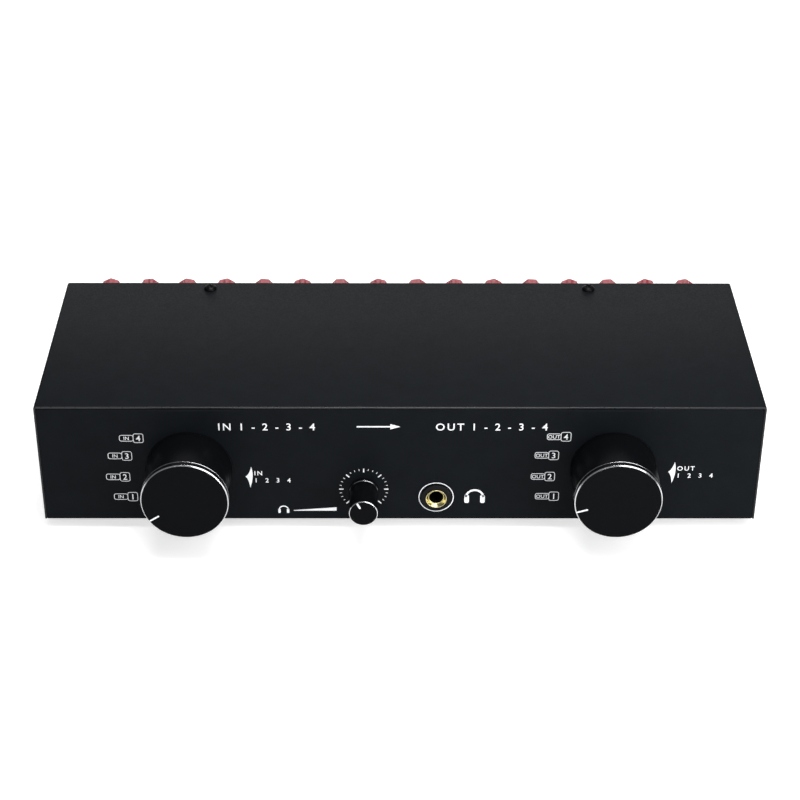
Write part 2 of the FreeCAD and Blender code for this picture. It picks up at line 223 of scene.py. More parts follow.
def spun(x, z, radius, y, a):
    """Points about a line along Y: radius r at angle a gives (x + r sin a, y, z + r cos a)."""
    return np.stack(np.broadcast_arrays(x + radius * np.sin(a), y, z + radius * np.cos(a)), -1)


def turned(profile, x, z, columns=96, **kind):
    """A form turned about a line along Y, from its (radius, y) profile."""
    radius, y = np.asarray(profile, float).T[:, :, None]
    return tube(spun(x, z, radius, y, circle(columns)), **kind)


def round_box(node):
    """The middle x and z of a node that is round about Y, its radius, and its front and rear end."""
    low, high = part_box(node)
    return (low.x + high.x) / 2, (low.z + high.z) / 2, (high.z - low.z) / 2, low.y, high.y


def folded(outer, inner, low, high, edge, axis):
    """Bent sheet: at each step along the fold a rectangle with broken edges spans outer to inner line
    and low to high across, so a point is outer (1 - t) + inner t, at its own place across."""
    depth = np.linalg.norm(outer[0] - inner[0])
    section = softened([(0, low), (0, high), (depth, high), (depth, low)], edge, 2)
    t = section[:, 0][None, :, None] / depth
    flat = outer[:, None] * (1 - t) + inner[:, None] * t
    across = np.broadcast_to(section[:, 1], flat.shape[:2])
    # Each corner of the rectangle has two quads of rounded edge, then a side.
    return tube(np.insert(flat, axis, across, axis=2), finish=np.tile([1, 1, 0], 4))


def laid(path, y):
    """A path in XZ as points in space, all at one Y."""
    return np.stack([path[:, 0], np.full(len(path), y), path[:, 1]], 1)


def outline_band(path, width, face, ink):
    """A printed line of even width along a closed path: each point moves half the width along the
    path's normal to both sides, and the four edges of its thin section join into a ring."""
    along = np.roll(path, -1, 0) - np.roll(path, 1, 0)
    normal = np.stack([along[:, 1], -along[:, 0]], 1) / np.linalg.norm(along, axis=1, keepdims=True)
    outside, inside = path + normal * width / 2, path - normal * width / 2
    section = [(outside, face), (outside, face - ink), (inside, face - ink), (inside, face)]
    return tube(np.stack([laid(line, y) for line, y in section], 1), ring=True)


def printed(path, face, ink):
    """A filled printed shape: a closed path in XZ with the ink's thickness along Y."""
    path = np.asarray(path, float)
    return tube(np.stack([laid(path, y) for y in (face - ink, face)]))


def rectangle(half_width, half_height):
    """The corners of an upright rectangle about the middle."""
    return np.array([(-1, -1), (1, -1), (1, 1), (-1, 1)]) * (half_width, half_height)


def arc(x, z, radius, start, end, steps):
    """Points on a circle, with angles in degrees clockwise from the top."""
    a = np.radians(np.linspace(start, end, steps))
    return np.stack([x + radius * np.sin(a), z + radius * np.cos(a)], 1)


def pointed(x, z, angle, local):
    """Points given as (outwards, sideways), turned about (x, z) by an angle clockwise from the top."""
    a = math.radians(angle)
    out, side = np.array([math.sin(a), math.cos(a)]), np.array([math.cos(a), -math.sin(a)])
    return np.array([x, z]) + local[:, :1] * out + local[:, 1:] * side


def new_object(name, points, faces, finishes):
    """A smooth mesh object with its finishes."""
    mesh = bpy.data.meshes.new(name)
    mesh.from_pydata(points, [], faces)
    mesh.polygons.foreach_set("use_smooth", np.ones(len(faces), bool))
    for finish in finishes:
        mesh.materials.append(finish)
    new = bpy.data.objects.new(name, mesh)
    bpy.context.scene.collection.objects.link(new)
    return new


def make_piece(name, skins, finishes, body, stands_for=(), sharp=35.0):
    """One object from several skins: it rides on its body and takes the place of the CAD nodes named."""
    points, faces, marks, start = [], [], [], 0
    for skin_points, blocks in skins:
        points.append(skin_points)
        for block, finish in blocks:
            faces += (block + start).tolist()
            marks.append(finish)
        start += len(skin_points)
    piece = new_object(name, np.concatenate(points), faces, finishes)
    mesh = piece.data
    mesh.polygons.foreach_set("material_index", np.concatenate(marks).astype(np.int32))
    mesh.set_sharp_from_angle(angle=math.radians(sharp))
    mesh.update()
    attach(piece, body)
    if stands_for:
        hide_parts(*stands_for)


def refinish(finish, *nodes):
    """Give CAD nodes that keep their own shape their finish."""
    for node in nodes:
        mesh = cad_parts[node].data
        mesh.materials.clear()
        mesh.materials.append(finish)


# Finishes


def add(tree, kind, inputs=None, **settings):
    """Add a node with its settings. An input is set to a value, or linked to another node's socket."""
    node = tree.nodes.new(kind)
    for name, value in settings.items():
        setattr(node, name, value)
    for name, value in (inputs or {}).items():
        if isinstance(value, bpy.types.NodeSocket):
            tree.links.new(value, node.inputs[name])
        else:
            node.inputs[name].default_value = value
    return node


def start_finish(**inputs):
    """A new material whose one shader has these even values, with its tree, shader and coordinates."""
    material = bpy.data.materials.new("finish")
    material.use_nodes = True
    tree = material.node_tree
    tree.nodes.clear()
    values = {key.replace("_", " "): value for key, value in inputs.items()}
    shader = add(tree, "ShaderNodeBsdfPrincipled", values)
    add(tree, "ShaderNodeOutputMaterial", {"Surface": shader.outputs["BSDF"]})
    place = add(tree, "ShaderNodeTexCoord").outputs["Object"]
    return material, tree, shader, place


def grain(tree, place, millimetres, detail=2.0):
    """Noise whose lumps are about this many millimetres apart."""
    inputs = {"Vector": place, "Scale": 1 / (millimetres * MM), "Detail": detail}
    return add(tree, "ShaderNodeTexNoise", inputs).outputs["Fac"]


def shade(tree, shader, amount, base, tones):
    """Base colour times a factor that goes from the first tone to the second with the noise."""
    ramp = add(tree, "ShaderNodeValToRGB", {"Fac": amount})
    for stop, place, tone in zip(ramp.color_ramp.elements, (NOISE_LOW, NOISE_HIGH), tones):
        stop.position = place
        stop.color = (*(min(1.0, channel * tone) for channel in base), 1)
    tree.links.new(ramp.outputs["Color"], shader.inputs["Base Color"])


def roughen(tree, shader, amount, low, high):
    """Roughness that goes from low to high with the noise."""
    inputs = {"Value": amount, "From Min": NOISE_LOW, "From Max": NOISE_HIGH, "To Min": low, "To Max": high}
    spread = add(tree, "ShaderNodeMapRange", inputs)
    tree.links.new(spread.outputs["Result"], shader.inputs["Roughness"])


def emboss(tree, shader, height, millimetres, strength):
    """Bump of this height."""
    inputs = {"Height": height, "Distance": millimetres * MM, "Strength": strength}
    bump = add(tree, "ShaderNodeBump", inputs)
    tree.links.new(bump.outputs["Normal"], shader.inputs["Normal"])


def speckled(base, lumps, tones, roughness, detail=2.0, relief=None, **inputs):
    """A material of one noise, with lumps this many millimetres apart: it moves the base colour between
    two tones and the roughness between two values, and gives a relief of a height and strength."""
    finish, tree, shader, place = start_finish(**inputs)
    noise = grain(tree, place, lumps, detail)
    shade(tree, shader, noise, base, tones)
    roughen(tree, shader, noise, *roughness)
    if relief:
        emboss(tree, shader, noise, *relief)
    return finish


def powder_coated_steel(colours):
    """Polyester powder baked on steel: a satin black skin with fine pebbling. The real pebbles are
    0.2 mm across; they are drawn 0.7 mm across, so that they show."""
    finish, tree, shader, place = start_finish(IOR=1.5, Specular_IOR_Level=0.045)
    pebbles = grain(tree, place, 0.7)
    shade(tree, shader, grain(tree, place, 9.0, 4.0), colours.powder_coat, (0.9, 1.1))
    roughen(tree, shader, pebbles, 0.44, 0.56)
    emboss(tree, shader, pebbles, 0.006, 0.4)
    return finish


def powder_coated_edge(colours):
    """The same powder where it flows thin round a sheared edge: it sets smoother there, with more gloss."""
    return speckled(colours.powder_coat, 1.5, (0.95, 1.1), (0.26, 0.34), IOR=1.5, Specular_IOR_Level=0.5)


def anodised_aluminium(colours):
    """Turned aluminium with a black anodic layer: nearly matt, with a faint tooth."""
    look = {"IOR": 1.6, "Specular_IOR_Level": 0.03, "relief": (0.004, 0.4)}
    return speckled(colours.anodised, 0.5, (0.85, 1.15), (0.3, 0.4), **look)


def bright_cut_aluminium(colours):
    """Aluminium laid bare by a diamond tool after anodising: a mirror-like metal, slightly uneven."""
    return speckled(colours.bright_cut, 0.4, (0.95, 1.03), (0.16, 0.26), Metallic=1.0)


def printed_ink(colours):
    """Screen-printed epoxy ink: thick, slightly glossy white whose cover is a little uneven."""
    return speckled(colours.ink, 0.6, (0.93, 1.02), (0.4, 0.55), IOR=1.5)


def gold_plated_brass(colours):
    """Gold flashed over nickel on turned brass: pale yellow metal with fine marks."""
    return speckled(colours.gold, 0.3, (0.9, 1.05), (0.14, 0.24), Metallic=1.0)


def tinted_polycarbonate(colours):
    """Red polycarbonate, moulded and slightly clear: light goes a little way in and comes out pinkish."""
    depths = {"Subsurface_Radius": (0.002, 0.0005, 0.0005), "Subsurface_Scale": 1.0}
    look = {"IOR": 1.58, "detail": 0.0, "Subsurface_Weight": 0.35, **depths}
    return speckled(colours.red_plastic, 3.0, (0.96, 1.05), (0.26, 0.32), **look)


def black_polycarbonate(colours):
    """Black polycarbonate, moulded in a polished tool: smooth, with soft flow marks."""
    look = {"IOR": 1.58, "Specular_IOR_Level": 0.35, "detail": 0.0}
    return speckled(colours.black_plastic, 3.0, (0.9, 1.2), (0.24, 0.32), **look)


def moulded_nylon(colours):
    """Black glass-filled nylon: a satin moulded skin with a fine spark-eroded texture."""
    look = {"IOR": 1.53, "Specular_IOR_Level": 0.12, "relief": (0.006, 0.5)}
    return speckled(colours.black_plastic, 0.35, (0.85, 1.2), (0.36, 0.5), **look)


def black_oxide_steel(colours):
    """Steel screws with a black oxide: dark metal under a thin oil film, smooth with soft highlights."""
    return speckled(colours.black_screw, 0.5, (0.8, 1.3), (0.28, 0.42), IOR=1.5, Specular_IOR_Level=0.1)


def bumper_rubber(colours):
    """Moulded rubber feet: dull black with a dusty bloom."""
    look = {"IOR": 1.52, "Specular_IOR_Level": 0.25, "detail": 4.0, "relief": (0.02, 0.4)}
    return speckled(colours.rubber, 1.2, (0.85, 1.5), (0.7, 0.85), **look)


def nickel_plate(colours):
    """Bright nickel over brass or steel: warm grey metal, slightly cloudy."""
    return speckled(colours.plated, 0.8, (0.9, 1.05), (0.2, 0.34), Metallic=1.0)


def phenolic_moulding(colours):
    """Brown-black phenolic of the switch housings: hard, with pale filler flecks."""
    return speckled(colours.switch_plastic, 0.6, (0.8, 1.5), (0.35, 0.5), detail=5.0, IOR=1.55)


def solder_mask(colours):
    """Green solder mask over glass cloth, whose weave of about 0.5 mm shows through faintly."""
    finish, tree, shader, place = start_finish(IOR=1.5)
    strand = 0.5 * MM
    inputs = {"Vector": place, "Scale": 1 / (2 * strand), "Distortion": 0.4}
    weave = add(tree, "ShaderNodeTexWave", inputs).outputs["Fac"]
    shade(tree, shader, weave, colours.board, (0.85, 1.15))
    roughen(tree, shader, weave, 0.28, 0.38)
    return finish


def finish_of(make):
    """The finish that a function makes, made once and named after it."""
    ready = bpy.data.materials.get(make.__name__)
    if not ready:
        ready = make(bpy.context.scene.selector_colours)
        ready.name = make.__name__
    return ready


class SELECTOR_OT_case(bpy.types.Operator):
    """Fold the cover and paint the case"""

    bl_idname = "selector.case"
    bl_label = "Case"

    def execute(self, context):
        sizes = context.scene.selector_sizes
        finishes = [finish_of(powder_coated_steel), finish_of(powder_coated_edge)]
        low, high = CASE_LOW, CASE_HIGH
        sheet, bend = sizes.sheet, sizes.inner_bend
        bottom, under = low.z + COVER_CLEARANCE, high.z - sheet
        left, right = low.x + sheet, high.x - sheet
        outer = [(low.x, bottom), (low.x, high.z), (high.x, high.z), (high.x, bottom)]
        inner = [(left, bottom), (left, under), (right, under), (right, bottom)]
        outer_line = softened(outer, bend + sheet, 8, closed=False)
        inner_line = softened(inner, bend, 8, closed=False)
        skins = [folded(outer_line, inner_line, low.y, high.y, sizes.sheared_edge, 1)]
        lip = under - sheet - HOOK_GAP
        hem = low.y + HOOK_SETBACK
        tip = hem - HOOK_REACH
        hook = np.array([(hem + sheet, under), (hem + sheet, lip - sheet), (tip, lip - sheet)])
        inside = np.array([(hem, under), (hem, lip), (tip, lip)])
        for middle in (-HOOK_MIDDLE, HOOK_MIDDLE):
            near, far = middle - HOOK_WIDTH / 2, middle + HOOK_WIDTH / 2
            skins.append(folded(hook, inside, near, far, HOOK_EDGE, 0))
        make_piece("folded_cover", skins, finishes, "case", ["top_cover"])
        refinish(finishes[0], "chassis")
        return {"FINISHED"}


class SELECTOR_OT_cover_screws(bpy.types.Operator):
    """Make the two pan-head screws with their cross recess"""

    bl_idname = "selector.cover_screws"
    bl_label = "Cover screws"

    def execute(self, context):
        low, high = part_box("cover_screws")
        seat = CASE_HIGH.z
        radius = (high.y - low.y) / 2
        middle_y = (low.y + high.y) / 2
        tip, shank, taper, overlap = np.array([0.9, 1.45, 0.5, 0.2]) * MM
        profile = [(tip, low.z), (shank, low.z + taper), (shank, seat + overlap)]
        skins = []
        for x in (low.x + radius, high.x - radius):
            skins.append(self.head(x, middle_y, seat, radius, high.z - seat))
            skins.append(self.upright(profile, x, middle_y))
        finish = finish_of(black_oxide_steel)
        make_piece("pan_head_screws", skins, [finish], "case", ["cover_screws"], sharp=50)
        return {"FINISHED"}

    def head(self, x, y, seat, radius, rise):
        """The head's height over the disc is rise (1 - 0.72 q^2.6), q the share of the radius, less a
        cross recess 1 mm deep and turned by 0.5 radians. An arm's walls slope from 0.32 to 0.62 mm off
        its middle line, and its ends from 1.25 to 1.75 mm off the head's middle.
        A square grid (u, v) covers the disc by u sqrt(1 - v^2 / 2), v sqrt(1 - u^2 / 2)."""
        turn, depth = 0.5, 1.0 * MM
        arm_half, arm_wall, arm_reach, arm_end = np.array([0.62, 0.3, 1.75, 0.5]) * MM
        s = np.linspace(-1, 1, 41)
        u, v = np.meshgrid(s, s)
        across, along = u * np.sqrt(1 - v**2 / 2) * radius, v * np.sqrt(1 - u**2 / 2) * radius
        q = np.clip(np.hypot(across, along) / radius, 0, 1)
        top = rise * (1 - 0.72 * q**2.6)
        p = np.abs(across * math.cos(turn) + along * math.sin(turn))
        w = np.abs(along * math.cos(turn) - across * math.sin(turn))
        narrow, far = np.minimum(p, w), np.maximum(p, w)
        arm = np.clip((arm_half - narrow) / arm_wall, 0, 1) * np.clip((arm_reach - far) / arm_end, 0, 1)
        grid = np.stack([x + across, y + along, seat + top - arm * depth], -1)
        number, quads = open_quads(len(s), len(s))
        rim = np.concatenate([number[0, :-1], number[:-1, -1], number[-1, :0:-1], number[:0:-1, 0]])
        base = grid.reshape(-1, 3)[rim].copy()
        base[:, 2] = seat
        lower = np.arange(len(rim)) + number.size
        sides = np.stack([rim, lower, np.roll(lower, -1), np.roll(rim, -1)], 1)
        points = np.concatenate([grid.reshape(-1, 3), base])
        return skin(points, (quads, 0), (sides, 0), (lower[None, ::-1], 0))

    def upright(self, profile, x, y):
        """A form turned about an upright line: (r, z) goes to (x + r sin a, y + r cos a, z)."""
        a = circle(32)
        r, z = np.asarray(profile, float).T[:, :, None]
        return tube(np.stack(np.broadcast_arrays(x + r * np.sin(a), y + r * np.cos(a), z), -1))


class SELECTOR_OT_feet(bpy.types.Operator):
    """Make the four stuck-on rubber feet"""

    bl_idname = "selector.feet"
    bl_label = "Feet"

    def execute(self, context):
        low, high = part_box("rubber_feet")
        half = FOOT_SIDE / 2
        outline = softened(rectangle(half, half), FOOT_CORNER, 5)
        # Height and inset of each ring in millimetres: a rounded rim, then sides that widen upwards.
        levels = [(0.0, 1.6), (0.15, 1.15), (0.5, 0.95), (4.0, 0.1), (4.5, 0.0)]
        skins = []
        for x in (low.x + half, high.x - half):
            for y in (low.y + half, high.y - half):
                rings = []
                for level, inset in levels:
                    ring = outline * (1 - inset * MM / half) + (x, y)
                    rings.append(np.insert(ring, 2, level * MM, axis=1))
                skins.append(tube(np.stack(rings)))
        rubber = finish_of(bumper_rubber)
        make_piece("rubber_bumpers", skins, [rubber], "case", ["rubber_feet"])
        return {"FINISHED"}


def knob_pointer(x, z, face, start, end, width, angle, ink):
    """A painted line on a knob's face, with a round inner end."""
    half = width / 2
    local = np.array([(start - half, -half), (end, -half), (end, half), (start - half, half)])
    local = softened(local, [half * 0.98, BURR, BURR, half * 0.98], 5)
    return printed(pointed(x, z, angle, local), face, ink)


def bright_rows(profile, edge, groove):
    """1 for the rows cut bright: the chamfer ahead of edge and the groove's wall that faces forward."""
    middle = (profile[1:, 1] + profile[:-1, 1]) / 2
    wall = (middle > groove) & (middle < groove + GROOVE_DEPTH)
    return ((middle < edge) | wall).astype(int)


def dress_knob(node, body, sizes, chamfer, groove, back, pointer, columns):
    """Turn a knob and paint its pointer. The profile's corners are (radius, y, trim): the chamfer round
    the face, with its own trim, the groove, then the back's corners. The pointer is its length,
    width and angle."""
    x, z, radius, front, _ = round_box(node)
    face = front + sizes.ink
    width, trim = chamfer
    corners = [
        (radius - width, face, 0),
        (radius, face + width, trim),
        (radius, groove - GROOVE_DEPTH, BURR),
        (radius - GROOVE_DEPTH, groove, BURR),
        (radius, groove + GROOVE_DEPTH, BURR),
        *back,
    ]
    corners = np.array(corners)
    profile = softened(corners[:, :2], corners[:, 2], 3, closed=False)
    bright = bright_rows(profile, face + width, groove)
    finishes = [finish_of(anodised_aluminium), finish_of(bright_cut_aluminium)]
    skins = [turned(profile, x, z, columns, finish=bright[:, None])]
    make_piece(node + "_turned", skins, finishes, body, [node])
    reach, line_width, angle = pointer
    line = knob_pointer(x, z, face, radius - reach, radius - width, line_width, angle, sizes.ink)
    make_piece(node + "_pointer", [line], [finish_of(printed_ink)], body)


class SELECTOR_OT_selector_knobs(bpy.types.Operator):
    """Turn the two large knobs and paint their pointers"""

    bl_idname = "selector.selector_knobs"
    bl_label = "Selector knobs"

    def execute(self, context):
        sizes = context.scene.selector_sizes
        recess_radius, recess_depth, bore_from = 9.0 * MM, 5.0 * MM, 6.8 * MM
        for side, angle in (("input", 237.0), ("output", 253.0)):
            node = side + "_knob"
            radius, front, end = round_box(node)[2:]
            back = [
                (radius, end, 0.35 * MM),
                (recess_radius, end, 0.2 * MM),
                (recess_radius, end - recess_depth, 0),
                (SHAFT_BORE, end - recess_depth, 0),
                (SHAFT_BORE, front + bore_from, 0),
            ]
            chamfer = (sizes.knob_chamfer, 0.05 * MM)
            groove = front + sizes.knob_groove
            pointer = (sizes.pointer, sizes.pointer_width, angle)
            dress_knob(node, side + "_selector", sizes, chamfer, groove, back, pointer, 160)
        refinish(finish_of(nickel_plate), "input_switch_shaft", "output_switch_shaft", "switch_nuts")
        refinish(finish_of(phenolic_moulding), "input_switch_housing", "output_switch_housing")
        return {"FINISHED"}


class SELECTOR_OT_volume_knob(bpy.types.Operator):
    """Turn the small knob and paint its pointer"""

    bl_idname = "selector.volume_knob"
    bl_label = "Volume knob"

    def execute(self, context):
        sizes = context.scene.selector_sizes
        radius, front, end = round_box("volume_knob")[2:]
        bore_from, groove_from_end = 3.2 * MM, 1.5 * MM
        back = [(radius, end, 0.3 * MM), (SHAFT_BORE, end, 0), (SHAFT_BORE, front + bore_from, 0)]
        chamfer = (sizes.small_chamfer, 0.04 * MM)
        pointer = (3.0 * MM, 0.9 * MM, 333.0)
        groove = end - groove_from_end
        dress_knob("volume_knob", "headphone_volume", sizes, chamfer, groove, back, pointer, 96)
        refinish(finish_of(nickel_plate), "volume_pot_shaft")
        refinish(finish_of(phenolic_moulding), "volume_pot_body")
        return {"FINISHED"}


class SELECTOR_OT_headphone_jack(bpy.types.Operator):
    """Turn the jack's gold-plated bush and its black nut"""

    bl_idname = "selector.headphone_jack"
    bl_label = "Headphone jack"

    def execute(self, context):
        sizes = context.scene.selector_sizes
        x, z, outer, front, end = round_box("headphone_jack_bush")
        bore, rim = 3.25 * MM, 0.3 * MM
        throat = front + sizes.jack_funnel
        funnel = [(bore, throat), (bore + rim, throat), (outer - rim, front)]
        ring = funnel + [(outer, front), (outer, end), (bore, end)]
        profile = softened(ring, np.array([0.14, 0.1, 0.12, 0.12, 0.1, 0.1]) * MM, 3)
        skins, gold = [turned(profile, x, z, ring=True)], finish_of(gold_plated_brass)
        make_piece("jack_bush_turned", skins, [gold], "case", ["headphone_jack_bush"])
        nut_outer, front, end = round_box("headphone_jack_nut")[2:]
        ring = [(outer, front), (nut_outer, front), (nut_outer, end), (outer, end)]
        profile = softened(ring, np.array([0.1, 0.35, 0.05, 0.05]) * MM, 4)
        skins, nylon = [turned(profile, x, z, ring=True)], finish_of(moulded_nylon)
        make_piece("jack_nut_turned", skins, [nylon], "case", ["headphone_jack_nut"])
        refinish(finish_of(phenolic_moulding), "headphone_jack_body")
        refinish(finish_of(solder_mask), "headphone_board")
        return {"FINISHED"}


class SELECTOR_OT_front_print(bpy.types.Operator):
    """Print the plain marks on the front panel"""

    bl_idname = "selector.front_print"
    bl_label = "Front print"

    def execute(self, context):
        sizes = context.scene.selector_sizes
        self.face = CASE_LOW.y
        self.ink = sizes.ink
        self.line = sizes.line
        left = [(-117.0, 49.1), (-122.7, 39.6), (-124.3, 28.2), (-121.5, 17.3)]
        right = [(74.0, 50.0), (68.9, 40.0), (67.6, 28.5), (69.9, 17.6)]
        skins = []
        for spots, word in ((left, "IN"), (right, "OUT")):
            for (x, z), figure in zip(spots, "4321"):
                skins += self.badge(x, z, figure, word)
        skins += self.arrow(-69.9, 28.4, "IN", "1  2  3  4")
        skins += self.arrow(121.0, 31.1, "OUT", "1  2  3  4")
        height, level = 3.8, 53.4
        for words, x, side in (("IN 1 - 2 - 3 - 4", -81.4, "LEFT"), ("OUT 1 - 2 - 3 - 4", 65.7, "RIGHT")):
            skins.append(self.text(words, height, x, level, side, bold=0.05, spacing=1.32))
        skins.append(self.title_arrow())
        skins += self.volume_scale()
        skins += self.jack_marks()
        make_piece("front_print", skins, [finish_of(printed_ink)], "case", sharp=30)
        return {"FINISHED"}

    def filled(self, path):
        """A filled shape; sizes in millimetres."""
        return printed(np.asarray(path) * MM, self.face, self.ink)

    def text(self, words, height, x, z, align="CENTER", bold=0.04, spacing=1.0):
        """Plain letters or figures whose capitals stand height tall on z; sizes in millimetres. The font's
        filled outlines are laid in XZ, as thick as the ink. A capital is a fixed share of its size."""
        capital = 0.729
        curve = bpy.data.curves.new("lettering", "FONT")
        curve.body = words
        curve.align_x = align
        curve.size = height * MM / capital
        curve.offset = bold * MM
        curve.space_character = spacing
        curve.extrude = self.ink / 2
        curve.resolution_u = 3
        helper = bpy.data.objects.new("lettering", curve)
        mesh = bpy.data.meshes.new_from_object(helper)
        flat = np.zeros(len(mesh.vertices) * 3)
        mesh.vertices.foreach_get("co", flat)
        across, up, out = flat.reshape(-1, 3).T
        points = np.stack([x * MM + across, self.face - self.ink / 2 - out, z * MM + up], 1)
        faces = [tuple(p.vertices) for p in mesh.polygons]
        bpy.data.objects.remove(helper)
        bpy.data.curves.remove(curve)
        bpy.data.meshes.remove(mesh)
        sides = sorted({len(f) for f in faces})
        blocks = [np.array([f for f in faces if len(f) == n]) for n in sides]
        return points, [(block, np.zeros(len(block), int)) for block in blocks]

    def border(self, x, z, width, height):
        """A printed rounded frame."""
        corner = 0.9
        path = softened(rectangle(width / 2, height / 2), corner, 4) + np.array([x, z])
        return outline_band(path * MM, self.line, self.face, self.ink)

    def badge(self, x, z, figure, word):
        """A figure in a square frame, with a lower frame for its word to the left."""
        step = 5.35
        return [
            self.border(x, z, 4.4, 4.7),
            self.text(figure, 3.1, x, z - 1.55, bold=0.02),
            self.border(x - step, z, 6.1, 3.1),
            self.text(word, 1.9, x - step, z - 0.95, bold=0.0),
        ]

    def arrow(self, x, z, word, figures):
        """A curved triangle that points left. From corner A to B a side is (1-s)^2 A + 2 s (1-s) M + s^2 B:
        the sides at the tip are hollow, the back bulges."""
        tip, top, bottom = np.array([(x, z), (x + 2.7, z + 5.3), (x + 2.0, z - 6.1)])
        pulls = np.array([(x + 1.9, z + 1.4), (x + 4.2, z + 0.6), (x + 1.5, z - 1.4)])
        s = np.linspace(0, 1, 8, endpoint=False)[:, None]
        sides = [(tip, pulls[0], top), (top, pulls[1], bottom), (bottom, pulls[2], tip)]
        path = np.concatenate([(1 - s) ** 2 * a + 2 * s * (1 - s) * m + s**2 * b for a, m, b in sides])
        skins = [self.filled(path)]
        for words, drop in ((word, 0.7), (figures, -3.2)):
            skins.append(self.text(words, 2.4, x + 3.9, z + drop, "LEFT", bold=0.03, spacing=1.3))
        return skins

    def title_arrow(self):
        """A long thin arrow that points right."""
        tail, neck, tip, level = -19.5, -4.5, 0.0, 55.3
        shaft, head = 0.35, 1.4
        upper = [(tip, level), (neck, level + head), (neck, level + shaft), (tail, level + shaft)]
        lower = [(tail, level - shaft), (neck, level - shaft), (neck, level - head)]
        return self.filled(lower + upper)

    def volume_scale(self):
        """25 ticks round the small knob, every fourth one long, and below it a wedge that rises to the
        right beside the sign of headphones."""
        x, z = round_box("volume_knob")[:2]
        skins = []
        for i in range(-12, 13):
            inner, outer, half = (9.2, 11.2, 0.275) if i % 4 == 0 else (10.2, 11.1, 0.13)
            tick = np.array([(inner, -half), (inner, half), (outer, half), (outer, -half)]) * MM
            skins.append(printed(pointed(x, z, i * 11.25, tick), self.face, self.ink))
        sign, thin, thick = x / MM - 36.6, x / MM - 32.0, x / MM - 12.5
        base = z / MM - 12.0
        skins.append(self.filled([(thin, base), (thick, base), (thick, base + 1.9), (thin, base + 0.3)]))
        skins += self.headphones(sign, base + 0.2, 2.4)
        return skins

    def headphones(self, x, z, size):
        """A head band over two ear pads."""
        top = z + size * 0.1
        band = [arc(x, top, size, -90, 90, 17), arc(x, top, size * 0.78, 90, -90, 17)]
        skins = [self.filled(np.concatenate(band))]
        width, height = size * 0.24, size * 0.5
        pad = softened(rectangle(width, height), width * 0.7, 4)
        for side in (-1, 1):
            skins.append(self.filled(pad + np.array([x + side * size * 0.82, z - size * 0.12])))
        return skins

    def jack_marks(self):
        """A ring round the jack and the sign of a pair of headphones beside it."""
        x, z = round_box("headphone_jack_nut")[:2]
        radius, width = 7.8, 0.42
        ring = arc(x / MM, z / MM, radius, 0, 360, 97)[:-1] * MM
        skins = [outline_band(ring, width * MM, self.face, self.ink)]
        return skins + self.headphones(x / MM + 17.5, z / MM - 0.5, 4.4)


